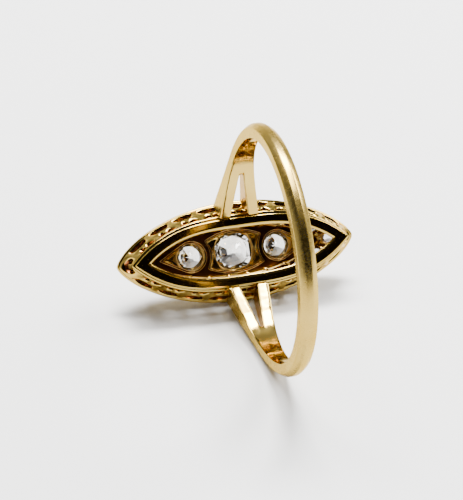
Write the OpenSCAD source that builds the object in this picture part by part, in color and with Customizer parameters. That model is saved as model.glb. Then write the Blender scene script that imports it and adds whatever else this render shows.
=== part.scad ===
// Navette ring: a forked gold band that carries a long pointed head with three main
// stones in pierced collets, a border of small stones and an openwork gallery below.
// It lies as such a ring comes to rest by itself, on the rim of its band and on the
// long lower edge of its head. X runs along the finger, Z is up from the surface.

/* [Band] */
// Inside diameter of the finger hole
finger_d = 17; // [15:0.25:20]
// Width of the band at the back
band_w = 1.3; // [1:0.02:1.8]
// Thickness of the band at the back
band_t = 1.15; // [0.8:0.05:1.6]
// How much lower the band's outside is at its edges than along its middle
band_crown = 0.35; // [0.1:0.05:0.5]

/* [Shoulders] */
// Width over both prongs where they meet the head
shoulder_w = 3.3; // [2.6:0.1:4.2]
// Width of the slot between the prongs at the head
slot_w = 1.5; // [0.8:0.1:2]
// Width of the slot at its narrow end
slot_end_w = 0.32; // [0.2:0.02:0.6]
// Length of the slot, seen from above the head
slot_l = 3.2; // [2:0.1:4]

/* [Head outline] */
// Length of the head from tip to tip
head_l = 20.35; // [18:0.05:24]
// Width of the head across its middle
head_w = 8.36; // [7.4:0.02:10]
// How full the head's outline is between tip and middle
head_fullness = 2.05; // [1.8:0.05:2.8]
// How pointed the head's outline is, from 0.6 for a round nose to 1 for a sharp tip
head_point = 0.71; // [0.6:0.01:1]
// How far the gallery flares out at each tip
flare_l = 1.15; // [0.6:0.05:1.6]
// How far the gallery flares out at each side
flare_w = 1.39; // [0.6:0.01:1.6]
// How full the rail's outline is between tip and middle
rail_fullness = 3.15; // [2.2:0.05:3.8]
// Width of the rail's flat face along the sides
rail_side_w = 0.86; // [0.5:0.02:1]
// Width of the rail's flat face at the tips
rail_tip_w = 1.35; // [0.8:0.05:1.8]

/* [Head heights] */
// Gap between the finger hole and the rail
rail_gap = 0.05; // [0.02:0.01:0.3]
// Thickness of the rail
rail_t = 0.3; // [0.2:0.05:0.6]
// Height of the groove over the rail
groove_h = 0.12; // [0.08:0.02:0.2]
// Depth of the groove over the rail
groove_d = 0.1; // [0.05:0.01:0.2]
// Height of the wire over the groove
wire_h = 0.3; // [0.2:0.05:0.5]
// Height of the pierced wall
gallery_h = 1.65; // [1.4:0.05:2.2]
// Thickness of the pierced wall
wall_t = 0.42; // [0.3:0.02:0.6]
// Height of the plain rim
rim_h = 0.65; // [0.4:0.05:0.9]
// Thickness of the plain rim
rim_t = 0.75; // [0.6:0.05:1]
// Rise of the face from the rim to its raised middle
dome_h = 0.88; // [0.5:0.02:1.2]
// Thickness of the face at its raised middle
face_t = 0.46; // [0.4:0.02:0.7]

/* [Gallery windows] */
// Bays along each side of the head
bays = 10; // [8:2:12]
// Length of an upper window
lens_l = 1.5; // [1:0.05:1.6]
// Height of an upper window
lens_h = 0.7; // [0.5:0.05:0.8]
// Height of a lower window
arch_h = 0.46; // [0.3:0.02:0.5]
// Thickness of the bars between windows
bar_t = 0.22; // [0.18:0.02:0.3]
// Width of the oval window at each tip
tip_window_w = 1.9; // [1.4:0.1:2.2]
// Height of the oval window at each tip
tip_window_h = 1.3; // [0.8:0.05:1.4]

/* [Main stones] */
// Length of the cushion-cut centre stone
centre_l = 3.4; // [3:0.1:3.8]
// Width of the cushion-cut centre stone
centre_w = 3.2; // [2.8:0.1:3.4]
// Diameter of the round side stones
side_d = 2.4; // [1.8:0.1:2.6]
// Distance of each side stone from the middle
side_x = 3.74; // [3.6:0.02:4.2]
// Width of the gold collet round a main stone
collet_t = 0.36; // [0.25:0.01:0.45]
// Height of the collets over the face
collet_h = 0.74; // [0.6:0.02:0.9]
// Clearance between a stone and its seat
seat_gap = 0.04; // [0.02:0.01:0.08]

/* [Openings behind the main stones] */
// Length of the centre opening at its corners
centre_open_l = 4.66; // [4.2:0.02:4.8]
// Width of the centre opening at its corners
centre_open_w = 2.24; // [2:0.02:2.6]
// How far the long sides of the centre opening bow out
centre_bow_out = 0.56; // [0.3:0.02:0.6]
// How far the short sides of the centre opening bow in
centre_bow_in = 0.38; // [0.1:0.02:0.45]
// Radius of the round end of a pear-shaped opening
pear_r = 1.17; // [0.9:0.01:1.25]
// Distance from a side stone to the point of its opening
pear_point = 2.42; // [1.8:0.02:2.6]
// Depth of the openings behind the stones
open_depth = 0.2; // [0.12:0.02:0.24]

/* [Border stones] */
// Diameter of a border stone
border_d = 1.14; // [0.8:0.02:1.2]
// Distance of the border stones from the head's outline at the sides
border_in = 1.25; // [1.1:0.01:1.4]
// Distance of the two tip stones from the head's tips
border_tip_in = 1.8; // [1.5:0.05:2]
// Width of a post between the openings behind the border stones
post_w = 0.3; // [0.2:0.02:0.4]

/* [Hidden] */
SIDES = [-1, 1];
BORDER = [for (i = [1 : 2 * bays]) i];

// Band radii, and the half sizes that are used throughout
hole_r = finger_d / 2;
band_r = hole_r + band_t;
head_a = head_l / 2;
head_b = head_w / 2;
rail_a = head_a - flare_l;
rail_b = head_b - flare_w;

// Levels of the head, measured from the axis of the finger hole
rail_z = hole_r + rail_gap;
groove_z = rail_z + rail_t;
wire_z = groove_z + groove_h;
wall_z = wire_z + wire_h;
rim_z = wall_z + gallery_h;
dome_z = rim_z + rim_h;
face_z = dome_z + dome_h;
back_z = face_z - face_t;

// Shares of the flare that the wire, the wall's foot and the wall's top have reached
wire_flare = 0.2;
foot_flare = 0.22;
top_flare = 0.86;

// Height of the softened edges of the rim and of the collets
rim_soft = 0.14;
collet_soft = 0.12;
// Share of a collet's thickness that is left at its top, how much wider its foot is, and how
// far the foot reaches into the face
collet_top_share = 0.7;
collet_foot = 0.2;
collet_sunk = 0.1;
// Level of the main stones' girdles, as a share of the collets' height
girdle_share_up = 0.66;
// How far in from the outline the face starts to rise, and where it is level
dome_in = 0.12;
level_in = 2.2;
back_in = 2.36;
// How much further in a tip lies than a side does for the same inset, at the rail and at the rim
rail_tip_share = 1.45;
rim_tip_share = 1.2;

outline_steps = 17;
round_fn = 32;
eps = 0.01;
// How far a cut reaches past what it cuts
through = 1;
// How far the raw band reaches into the finger hole before the hole is cut
raw_in = 0.3;
// Gap between the straight inner faces of the shoulders and the finger hole
straight_gap = 0.03;

function mix(a, b, t) = a + (b - a) * t;

// An oval of the head, as half length, half width, fullness and point. Its flare is 0 at the
// rail and 1 at the rim, and an inset moves it in.
function oval(flare, inset = 0) = [
    mix(rail_a, head_a, flare) - inset * mix(rail_tip_share, rim_tip_share, flare),
    mix(rail_b, head_b, flare) - inset,
    mix(rail_fullness, head_fullness, flare), mix(1, head_point, flare)];
function side_y(x, o) = o[1] * pow(1 - pow(min(1, abs(x) / o[0]), o[2]), o[3]);

// Points round an oval, from its left tip round to it again
function line(o, n = outline_steps) = concat(
    [for (i = [0 : n]) let (x = -o[0] * cos(180 * i / n)) [x, -side_y(x, o)]],
    [for (i = [1 : n - 1]) let (x = o[0] * cos(180 * i / n)) [x, side_y(x, o)]]);

// Where a share of the way along one side of an oval lies, and which way faces out there
function run_length(pts) = [for (i = 0, s = 0; i < len(pts); s = s + (i < len(pts) - 1
    ? norm(pts[i + 1] - pts[i]) : 0), i = i + 1) s];
function upper_side(o, n = 120) = [for (i = [0 : n]) let (x = -o[0] * cos(180 * i / n)) [x, side_y(x, o)]];
function along_x(o, share) =
    let (pts = upper_side(o), run = run_length(pts))
    lookup(share * run[len(run) - 1], [for (i = [0 : len(pts) - 1]) [run[i], pts[i][0]]]);
function out_angle(x, o) =
    let (d = 0.01, slope = (side_y(x + d, o) - side_y(x - d, o)) / (2 * d))
    90 + atan(slope);

// The walk round the head: one place for each border stone, tips included
row_oval = [head_a - border_tip_in, head_b - border_in, head_fullness, head_point];
function row_share(i) = (i <= bays ? i : i - bays) / bays;
function row_place(i) =
    let (side = i <= bays ? 1 : -1, x = side * along_x(row_oval, row_share(i)), tip = row_share(i) == 1)
    tip ? [x, 0, side > 0 ? 0 : 180] : [x, side * side_y(x, row_oval), side * out_angle(x, row_oval)];
dome_tilt = atan(dome_h / (level_in - dome_in));
row_z = mix(dome_z, face_z, (border_in - dome_in) / (level_in - dome_in));

// The ring at rest: a line under the band and the head's edge is level
edge_z = dome_z - rim_soft;
edge_reach = norm([head_b, edge_z]);
rest_angle = atan(head_b / edge_z) + acos(band_r / edge_reach);
dip = 90 - rest_angle;
function front(z, y) = z * cos(dip) + y * sin(dip);
front_reach = max(
    front(edge_z, head_b), front(dome_z, head_b - dome_in), front(face_z, head_b - level_in),
    front(face_z + collet_h - collet_soft, centre_w / 2 + collet_t),
    front(face_z + collet_h, centre_w / 2 + collet_top_share * collet_t));
rest_y = (band_r - front_reach) / 2;

// Faces of a skin over rows of n points each, closed at its first and last row
function skin(n, last) = concat(
    [[for (i = [0 : n - 1]) i]],
    [for (k = [0 : last - 1]) for (i = [0 : n - 1]) let (j = (i + 1) % n)
        each [[k * n + i, (k + 1) * n + i, (k + 1) * n + j],
              [k * n + i, (k + 1) * n + j, k * n + j]]],
    [[for (i = [n - 1 : -1 : 0]) last * n + i]]);

// A solid between outlines of the same number of points, stacked in levels
module stack(lines, levels) {
    last = len(lines) - 1;
    polyhedron(
        points = [for (k = [0 : last]) for (p = lines[k]) [p[0], p[1], levels[k]]],
        faces = skin(len(lines[0]), last));
}

// Shares of a cut stone's width: crown, girdle, pavilion and culet
crown_share = 0.16;
girdle_share = 0.05;
pavilion_share = 0.3;
culet_share = 0.12;
table_share = 0.56;

// Shares of a main stone and of a border stone that show through the hole below them, and
// how far below its girdle a stone bears on the edge of that hole
main_share = 0.92;
border_share = 0.84;
function bearing(w, share) = pavilion_share * w * (1 - share) / (1 - culet_share);

// Outline of a cushion or round stone
function stone_line(l, w, full, n = 16) = [for (i = [0 : n - 1])
    let (c = cos(360 * i / n), s = sin(360 * i / n))
    [l / 2 * sign(c) * pow(abs(c), 2 / full), w / 2 * sign(s) * pow(abs(s), 2 / full)]];

// A cut stone with its girdle at Z 0: table, crown, girdle, pavilion and culet
module cut_stone(l, w, full = 2) {
    hull() {
        translate([0, 0, (girdle_share + crown_share) * w - eps]) linear_extrude(eps)
            scale([l / w, 1]) rotate(22.5) circle(d = table_share * w, $fn = 8);
        linear_extrude(girdle_share * w) polygon(stone_line(l, w, full));
        translate([0, 0, -pavilion_share * w]) linear_extrude(eps)
            circle(d = culet_share * w, $fn = 8);
    }
}

// Band and shoulders: stations along one side, from the back of the band to the head
// Each station is the half width, the crown, the inner point and the outer point, as [y, z]
hole_line_r = hole_r + straight_gap;
rail_corner = [rail_b, rail_z + straight_gap];
straight_end = atan(rail_corner[0] / rail_corner[1]) + acos(hole_line_r / norm(rail_corner));
cut_end = straight_end + 4;
slant_top = [head_b - dome_in, rim_z];
slant_end = atan(slant_top[0] / slant_top[1]) + acos(band_r / norm(slant_top));
bury = 0.2;
function polar(r, angle) = [r * sin(angle), r * cos(angle)];
straight_foot = polar(hole_line_r, straight_end);
slant_foot = polar(band_r, slant_end);
function half_width(y) = y > hole_r ? band_w / 2
    : mix(shoulder_w / 2, band_w / 2, (y - rail_b) / (hole_r - rail_b));
function round_station(angle) =
    let (w = angle >= 90 ? band_w / 2 : half_width(hole_r * sin(angle)))
    [w, band_crown, polar(hole_r - raw_in, angle), polar(band_r, angle)];
function slant_inner(t) = t < 0.4
    ? polar(hole_r - raw_in, mix(slant_end, cut_end, t / 0.4))
    : mix(straight_foot, rail_corner - [bury, 0], (t - 0.4) / 0.6);
function slant_station(t) =
    let (inner = slant_inner(t), outer = mix(slant_foot, slant_top - [bury, -bury], t))
    [half_width(max(inner[0], rail_b)), mix(band_crown, 0.1, t), inner, outer];
stations = concat(
    [for (k = [0 : 20]) round_station(mix(180, slant_end, k / 20))],
    [for (k = [1 : 12]) slant_station(k / 12)]);
// The band's outside is flat along its middle, by a share of its width
crown_flat = 0.3;
crown_shares = [-1, -0.65, -crown_flat, crown_flat, 0.65, 1];
function crown_drop(f) = pow((abs(f) - crown_flat) / (1 - crown_flat), 2);
function station_points(s, side) =
    let (out = (s[3] - s[2]) / norm(s[3] - s[2]))
    concat([[-s[0], side * s[2][0], s[2][1]], [s[0], side * s[2][0], s[2][1]]],
        [for (f = crown_shares) let (p = s[3] - out * s[1] * crown_drop(f))
            [-f * s[0], side * p[0], p[1]]]);

module raw_band() {
    ring = concat(
        [for (k = [len(stations) - 1 : -1 : 0]) station_points(stations[k], -1)],
        [for (k = [1 : len(stations) - 1]) station_points(stations[k], 1)]);
    polyhedron(points = [for (s = ring) each s], faces = skin(len(ring[0]), len(ring) - 1));
}

// The tapered slot that forks each shoulder
module fork_slot() {
    slot_far = rail_b + slot_l;
    for (side = SIDES)
        linear_extrude(face_z)
            polygon([
                [-slot_w / 2, side * (rail_b - 2 * bury)], [slot_w / 2, side * (rail_b - 2 * bury)],
                [slot_w / 2, side * rail_b], [slot_end_w / 2, side * slot_far],
                [-slot_end_w / 2, side * slot_far], [-slot_w / 2, side * rail_b]]);
}

module band() {
    difference() {
        raw_band();
        rotate([0, 90, 0])
            cylinder(r = hole_r, h = head_w, center = true, $fn = 128);
        fork_slot();
    }
}

// Outside of the head: rail, groove, wire, flared wall, rim and raised face
module head_outside() {
    stack(
        [line(oval(0)), line(oval(0)), line(oval(0, groove_d)), line(oval(0, groove_d)),
         line(oval(wire_flare)), line(oval(foot_flare)), line(oval(top_flare)),
         line(oval(1)), line(oval(1)), line(oval(1, dome_in)), line(oval(1, level_in))],
        [rail_z, groove_z, groove_z + eps, wire_z - eps,
         wire_z, wall_z, rim_z,
         rim_z + rim_soft, dome_z - rim_soft, dome_z, face_z]);
}

// Hollow of the head, from the rail up to the back of the face
module head_hollow() {
    stack(
        [line(oval(0, wall_t)), line(oval(foot_flare, wall_t)), line(oval(top_flare, wall_t)),
         line(oval(1, rim_t)), line(oval(1, back_in))],
        [groove_z, wall_z, rim_z - bar_t, rim_z + eps, back_z]);
    translate([0, 0, rail_z - through]) linear_extrude(rail_t + 2 * through)
        polygon(line([rail_a - rail_tip_w, rail_b - rail_side_w, rail_fullness, 1]));
}

// Puts children on the pierced wall: X along it, Y up it, Z out of it
module on_wall(i, height) {
    o = oval(mix(foot_flare, top_flare, height));
    x = along_x(o, i / bays);
    lean = atan((top_flare - foot_flare) * flare_w / gallery_h);
    translate([x, side_y(x, o), mix(wall_z, rim_z, height)])
        rotate([0, 0, out_angle(x, o)]) rotate([0, lean, 0]) rotate([90, 0, 90]) children();
}

// Window with a nearly straight upper edge and a bowed lower one
module lens_window() {
    bow = 0.2;
    steps = 6;
    polygon(concat(
        [for (k = [0 : steps]) let (t = 2 * k / steps - 1)
            [t * lens_l / 2, -lens_h * (1 - bow) * (1 - t * t)]],
        [for (k = [steps - 1 : -1 : 1]) let (t = 2 * k / steps - 1)
            [t * lens_l / 2, lens_h * bow * (1 - t * t)]]));
}

// Pair of three-cornered windows under each upper one
module arch_windows() {
    for (side = SIDES)
        polygon([[side * bar_t / 2, 0], [side * lens_l / 2, 0],
                 [side * lens_l * 0.44, arch_h], [side * (bar_t / 2 + 0.12), arch_h * 0.42]]);
}

module gallery_windows() {
    reach = 2.4 * wall_t;
    lens_at = 1 - (lens_h * 0.2 + bar_t / 2) / gallery_h;
    arch_at = 0.08;
    for (side = [0, 1]) mirror([0, side, 0])
        for (i = [1 : bays - 1]) {
            on_wall(i, lens_at) translate([0, 0, -reach / 2]) linear_extrude(reach) lens_window();
            on_wall(i, arch_at) translate([0, 0, -reach / 2]) linear_extrude(reach) arch_windows();
        }
    for (side = SIDES)
        translate([side * (rail_a - wall_t), 0, mix(wall_z, rim_z, 0.52)])
            rotate([0, side * 90, 0]) linear_extrude(2 * flare_l)
                polygon([for (k = [0 : 15])
                    [tip_window_h / 2 * cos(22.5 * k), tip_window_w / 2 * sin(22.5 * k)]]);
}

// Opening behind the centre stone: corners drawn out, long sides bowed out, short sides in
module centre_opening() {
    l = centre_open_l / 2;
    w = centre_open_w / 2;
    steps = 8;
    sweep = [for (k = [0 : steps - 1]) 2 * k / steps - 1];
    polygon(concat(
        [for (t = sweep) [t * l, -w - centre_bow_out * (1 - t * t)]],
        [for (t = sweep) [l - centre_bow_in * (1 - t * t), t * w]],
        [for (t = sweep) [-t * l, w + centre_bow_out * (1 - t * t)]],
        [for (t = sweep) [-l + centre_bow_in * (1 - t * t), -t * w]]));
}

// Opening behind a side stone, pointed towards the tip of the head
module pear_opening() {
    lean = acos(pear_r / pear_point);
    polygon(concat([[pear_point, 0]],
        [for (k = [0 : 16]) let (angle = mix(lean, 360 - lean, k / 16))
            [pear_r * cos(angle), pear_r * sin(angle)]]));
}

girdle_z = face_z + girdle_share_up * collet_h;

// Collet round a main stone, and the seat that is cut for the stone
module collet(l, w, full) {
    side = 2 * collet_t;
    top = side * collet_top_share;
    stack([stone_line(l + side + collet_foot, w + side + collet_foot, full, round_fn),
           stone_line(l + side, w + side, full, round_fn),
           stone_line(l + top, w + top, full, round_fn)],
          [face_z - collet_sunk, face_z + collet_h - collet_soft, face_z + collet_h]);
}

module seat(l, w, full) {
    ledge_z = girdle_z - seat_gap;
    stack([stone_line(l * main_share, w * main_share, full, round_fn),
           stone_line(l * main_share, w * main_share, full, round_fn),
           stone_line(l + 2 * seat_gap, w + 2 * seat_gap, full, round_fn),
           stone_line(l + 2 * seat_gap, w + 2 * seat_gap, full, round_fn)],
          [back_z - through, ledge_z - bearing(w, main_share), ledge_z, face_z + collet_h + through]);
}

centre_full = 2.7;
module main_collets() {
    collet(centre_l, centre_w, centre_full);
    for (side = SIDES) translate([side * side_x, 0, 0]) collet(side_d, side_d, 2);
}

module main_seats() {
    seat(centre_l, centre_w, centre_full);
    translate([0, 0, back_z - through]) linear_extrude(through + open_depth) centre_opening();
    for (side = SIDES) {
        translate([side * side_x, 0, 0]) seat(side_d, side_d, 2);
        translate([side * side_x, 0, back_z - through]) linear_extrude(through + open_depth)
            mirror([side < 0 ? 1 : 0, 0]) pear_opening();
    }
}

// Puts children at a border stone: Z out of the face, X away from the middle of the head
module at_border(i) {
    place = row_place(i);
    translate([place[0], place[1], row_z])
        rotate([0, 0, place[2]]) rotate([0, dome_tilt, 0]) children();
}

// Level of the border stones' girdles, measured from the face, and the depth of their seats
border_girdle = -0.06;
border_depth = 0.34;
border_pitch = 2 * row_oval[0] / bays;
module border_seats() {
    r = border_d / 2;
    for (i = BORDER) at_border(i) translate([0, 0, border_girdle - seat_gap]) {
        rotate_extrude($fn = round_fn)
            polygon([[0, -border_depth - eps], [r * border_share, -border_depth - eps],
                     [r * border_share, -bearing(border_d, border_share)],
                     [r + seat_gap, 0], [r + seat_gap, through], [0, through]]);
        // Near a tip the openings get narrower, because the inside is
        near_tip = min(abs(row_share(i) * bays - bays), abs(row_share(i) * bays)) < 1.5;
        opening_w = near_tip ? border_pitch * 0.5 : border_pitch - post_w;
        translate([0, 0, -border_depth - through / 2])
            cube([border_d, opening_w, through], center = true);
    }
}

module head() {
    difference() {
        union() {
            head_outside();
            main_collets();
        }
        head_hollow();
        gallery_windows();
        main_seats();
        border_seats();
    }
}

module gold_mount() {
    color([0.86, 0.68, 0.34]) {
        band();
        head();
    }
}

module centre_diamond() {
    color([0.93, 0.93, 0.9]) translate([0, 0, girdle_z]) cut_stone(centre_l, centre_w, centre_full);
}

module side_diamond(side) {
    color([0.93, 0.93, 0.92]) translate([side * side_x, 0, girdle_z]) cut_stone(side_d, side_d);
}

module border_diamond(i) {
    color([0.9, 0.9, 0.9]) at_border(i) translate([0, 0, border_girdle]) cut_stone(border_d, border_d);
}

// Lays the ring on the surface as it comes to rest
module at_rest() {
    translate([0, rest_y, band_r]) rotate([-90 - dip, 0, 0]) children();
}

at_rest() gold_mount();
at_rest() centre_diamond();
at_rest() side_diamond(-1);  // side_diamond_left
at_rest() side_diamond(1);  // side_diamond_right
for (i = BORDER)
    at_rest() border_diamond(i);
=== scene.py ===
import bpy
import bmesh
import math
import numpy as np
from mathutils import Matrix, Vector
from mathutils.geometry import delaunay_2d_cdt


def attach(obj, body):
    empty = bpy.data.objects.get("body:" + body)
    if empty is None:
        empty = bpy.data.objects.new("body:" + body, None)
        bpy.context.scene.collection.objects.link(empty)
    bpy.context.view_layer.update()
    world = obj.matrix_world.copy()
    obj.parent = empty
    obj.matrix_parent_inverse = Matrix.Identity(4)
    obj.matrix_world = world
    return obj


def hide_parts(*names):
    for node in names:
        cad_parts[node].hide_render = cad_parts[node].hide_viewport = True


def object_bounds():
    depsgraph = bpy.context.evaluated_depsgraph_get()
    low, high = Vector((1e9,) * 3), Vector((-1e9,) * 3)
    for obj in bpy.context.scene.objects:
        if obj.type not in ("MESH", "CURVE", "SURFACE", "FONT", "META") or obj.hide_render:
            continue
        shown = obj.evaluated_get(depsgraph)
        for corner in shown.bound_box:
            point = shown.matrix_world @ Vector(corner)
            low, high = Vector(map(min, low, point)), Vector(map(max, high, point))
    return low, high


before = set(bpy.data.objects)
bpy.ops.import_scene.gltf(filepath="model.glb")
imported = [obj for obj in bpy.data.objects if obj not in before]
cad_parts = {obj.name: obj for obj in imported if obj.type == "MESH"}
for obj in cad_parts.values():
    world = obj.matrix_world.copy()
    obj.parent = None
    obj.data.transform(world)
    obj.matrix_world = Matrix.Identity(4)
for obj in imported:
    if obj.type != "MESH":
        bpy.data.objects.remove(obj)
cadLow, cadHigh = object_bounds()
print("frame loaded, nodes:", len(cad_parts))

# The ring is drawn upright in millimetres, X along the finger and Z out through the head,
# and then laid down where the frame has it.
headSizes = {
    "length": 20.35, "width": 8.36, "fullness": 2.05, "point": 0.71,
    "flareLength": 1.15, "flareWidth": 1.39, "railFullness": 3.15,
    "railSide": 0.86, "railTip": 1.35, "railTipShare": 1.45, "rimTipShare": 1.2,
    "railGap": 0.05, "railThick": 0.3, "grooveHigh": 0.12, "grooveDeep": 0.1,
    "wireHigh": 0.3, "wallHigh": 1.65, "wallThick": 0.42, "rimHigh": 0.65, "rimSoft": 0.14,
    "rimThick": 0.75, "domeIn": 0.12, "domeRise": 0.88, "levelIn": 2.2, "backIn": 2.36,
    "faceThick": 0.46, "bays": 10, "wireFlare": 0.2, "footFlare": 0.22, "topFlare": 0.86,
    "walkSteps": 44, "faceSteps": 40,
}
bandSizes = {
    "holeRadius": 8.5, "thick": 1.15, "width": 1.3, "crown": 0.35,
    "shoulderWidth": 3.3, "slotWidth": 1.5, "slotEnd": 0.32, "slotLength": 3.2,
    "softEdge": 0.04, "edgeStrip": 0.06, "edgeLow": 0.1, "slotStrip": 0.05, "crownCurve": 1.7,
    "straightGap": 0.02, "cornerGap": 0.03, "buried": 0.1, "middleShare": 0.3,
    "roundSteps": 22, "slantSteps": 20, "slotSteps": 6,
}

halfLength, halfWidth = headSizes["length"] / 2, headSizes["width"] / 2
railLength, railWidth = halfLength - headSizes["flareLength"], halfWidth - headSizes["flareWidth"]
bandRadius = bandSizes["holeRadius"] + bandSizes["thick"]
railZ = bandSizes["holeRadius"] + headSizes["railGap"]
grooveZ = railZ + headSizes["railThick"]
wireZ = grooveZ + headSizes["grooveHigh"]
wallZ = wireZ + headSizes["wireHigh"]
rimZ = wallZ + headSizes["wallHigh"]
domeZ = rimZ + headSizes["rimHigh"]
faceZ = domeZ + headSizes["domeRise"]
backZ = faceZ - headSizes["faceThick"]
domeIn, levelIn = headSizes["domeIn"], headSizes["levelIn"]
backIn, rimThick = headSizes["backIn"], headSizes["rimThick"]
domeTilt = math.atan(headSizes["domeRise"] / (levelIn - domeIn))
bays = headSizes["bays"]

# At rest a level line touches the band and the head's edge
edgeZ = domeZ - headSizes["rimSoft"]
dip = math.pi / 2 - math.atan2(halfWidth, edgeZ) - math.acos(bandRadius / math.hypot(halfWidth, edgeZ))
restY = cadLow.y * 1000 + bandRadius
ringPlace = (Matrix.Scale(0.001, 4) @ Matrix.Translation((0, restY, bandRadius))
             @ Matrix.Rotation(-math.pi / 2 - dip, 4, "X"))


def mix(a, b, t):
    return a + (b - a) * t


def smoothStep(t):
    t = min(1, max(0, t))
    return t * t * (3 - 2 * t)


# An oval of the head is its half length, half width, fullness and point
def oval(flare, inset=0):
    tipShare = mix(headSizes["railTipShare"], headSizes["rimTipShare"], flare)
    return (
        mix(railLength, halfLength, flare) - inset * tipShare,
        mix(railWidth, halfWidth, flare) - inset,
        mix(headSizes["railFullness"], headSizes["fullness"], flare),
        mix(1, headSizes["point"], flare))


railInner = (railLength - headSizes["railTip"], railWidth - headSizes["railSide"],
             headSizes["railFullness"], 1)


def sideY(x, shape):
    a, b, full, point = shape
    return b * (1 - min(1, abs(x) / a) ** full) ** point


ovalTables = {}


# Point on an oval: way runs 0 to 1 along the upper side and on to 2 back along the lower side
def ovalPoint(shape, way):
    if shape not in ovalTables:
        xs = -shape[0] * np.cos(np.linspace(0, np.pi, 241))
        ys = np.array([sideY(x, shape) for x in xs])
        run = np.concatenate([[0], np.cumsum(np.hypot(np.diff(xs), np.diff(ys)))])
        ovalTables[shape] = (run / run[-1], xs)
    share, xs = ovalTables[shape]
    way = way % 2
    if way <= 1:
        x = float(np.interp(way, share, xs))
        return x, sideY(x, shape)
    x = -float(np.interp(way - 1, share, xs))
    return x, -sideY(x, shape)


# Even walk along both sides, closer together near the tips
def walkRound(steps):
    crowded = 0.6
    half = [0.5 * (1 - math.cos(math.pi * k / steps)) * crowded + (1 - crowded) * k / steps
            for k in range(steps)]
    return half + [1 + w for w in half]


# Puts a mesh in the scene as a piece of the ring that stands in for a node
def addPiece(name, mesh, node, level=0):
    thing = bpy.data.objects.new(name, mesh)
    bpy.context.scene.collection.objects.link(thing)
    if level:
        rounding = thing.modifiers.new("rounding", "SUBSURF")
        rounding.levels = rounding.render_levels = level
    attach(thing, "root")
    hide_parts(node)


class MeshMaker:
    def __init__(self):
        self.points, self.faces, self.shade = [], [], []
        self.rubbed = []  # the faces that get the rubbed finish

    # shade paints each point's colour: positive is painted shade, negative a painted highlight
    def row(self, pts, shade=0.0):
        first = len(self.points)
        self.points += [tuple(p) for p in pts]
        self.shade += [shade] * len(pts)
        return list(range(first, len(self.points)))

    # Quads between two rows of as many points
    def bridge(self, rowA, rowB, closed=True):
        n = len(rowA)
        for i in range(n if closed else n - 1):
            j = (i + 1) % n
            self.faces.append((rowA[i], rowA[j], rowB[j], rowB[i]))

    def skin(self, rows, closedRows=False):
        for a, b in zip(rows, rows[1:]):
            self.bridge(a, b)
        if closedRows:
            self.bridge(rows[-1], rows[0])

    def piece(self, name, material, level=2, smooth=True, weld=0.002):
        mesh = bpy.data.meshes.new(name)
        mesh.from_pydata([ringPlace @ Vector(p) for p in self.points], [], self.faces)
        mesh.materials.append(material)
        if self.rubbed:
            mesh.materials.append(rubbedGold)
        for index in self.rubbed:
            mesh.polygons[index].material_index = 1
        # each point's painted shade, or painted highlight where negative, for the gold's colour
        shade = mesh.attributes.new("paintedShadeAndHighlight", "FLOAT", "POINT")
        shade.data.foreach_set("value", self.shade)
        work = bmesh.new()
        work.from_mesh(mesh)
        bmesh.ops.remove_doubles(work, verts=work.verts, dist=weld / 1000)
        bmesh.ops.dissolve_degenerate(work, edges=work.edges, dist=weld / 4000)
        bmesh.ops.recalc_face_normals(work, faces=work.faces)
        work.to_mesh(mesh)
        work.free()
        for face in mesh.polygons:
            face.use_smooth = smooth
        addPiece(name, mesh, "gold_mount", level)


# Materials: a socket that takes part in ordinary sums
class Socket:
    tree = None

    def __init__(self, socket):
        self.socket = socket

    @staticmethod
    def node(kind, settings, inputs, out=0):
        made = Socket.tree.nodes.new(kind)
        for key, value in settings.items():
            setattr(made, key, value)
        for key, value in inputs.items():
            if isinstance(value, Socket):
                Socket.tree.links.new(value.socket, made.inputs[key])
            else:
                made.inputs[key].default_value = value
        return Socket(made.outputs[out])

    @staticmethod
    def sum(operation, a, b):
        return Socket.node("ShaderNodeMath", {"operation": operation}, {0: a, 1: b})

    def __add__(self, other):
        return Socket.sum("ADD", self, other)

    def __radd__(self, other):
        return Socket.sum("ADD", other, self)

    def __sub__(self, other):
        return Socket.sum("SUBTRACT", self, other)

    def __rsub__(self, other):
        return Socket.sum("SUBTRACT", other, self)

    def __mul__(self, other):
        return Socket.sum("MULTIPLY", self, other)

    def __rmul__(self, other):
        return Socket.sum("MULTIPLY", other, self)

    def between(self, low, high):
        return Socket.node("ShaderNodeMapRange", {"clamp": True, "interpolation_type": "SMOOTHSTEP"},
                           {"Value": self, "From Min": low, "From Max": high})


def blendColour(factor, a, b):
    a, b = ((*colour, 1) if isinstance(colour, tuple) else colour for colour in (a, b))
    return Socket.node("ShaderNodeMix", {"data_type": "RGBA"}, {0: factor, 6: a, 7: b}, out=2)


def objectPlace():
    return Socket.node("ShaderNodeTexCoord", {}, {}, out=3)


def noise(place, scale, detail):
    return Socket.node("ShaderNodeTexNoise", {}, {"Vector": place, "Scale": scale, "Detail": detail})


# Height is in millimetres, and below is the bump that this one lies on
def bump(strength, height, pattern, below=None):
    inputs = {"Strength": strength, "Distance": height / 1000, "Height": pattern}
    if below is not None:
        inputs["Normal"] = below
    return Socket.node("ShaderNodeBump", {}, inputs)


def newMaterial(name):
    material = bpy.data.materials.new(name)
    material.use_nodes = True
    Socket.tree = material.node_tree
    shader = material.node_tree.nodes["Principled BSDF"]
    return material, shader


def feed(shader, name, value):
    Socket.tree.links.new(value.socket, shader.inputs[name])


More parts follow.
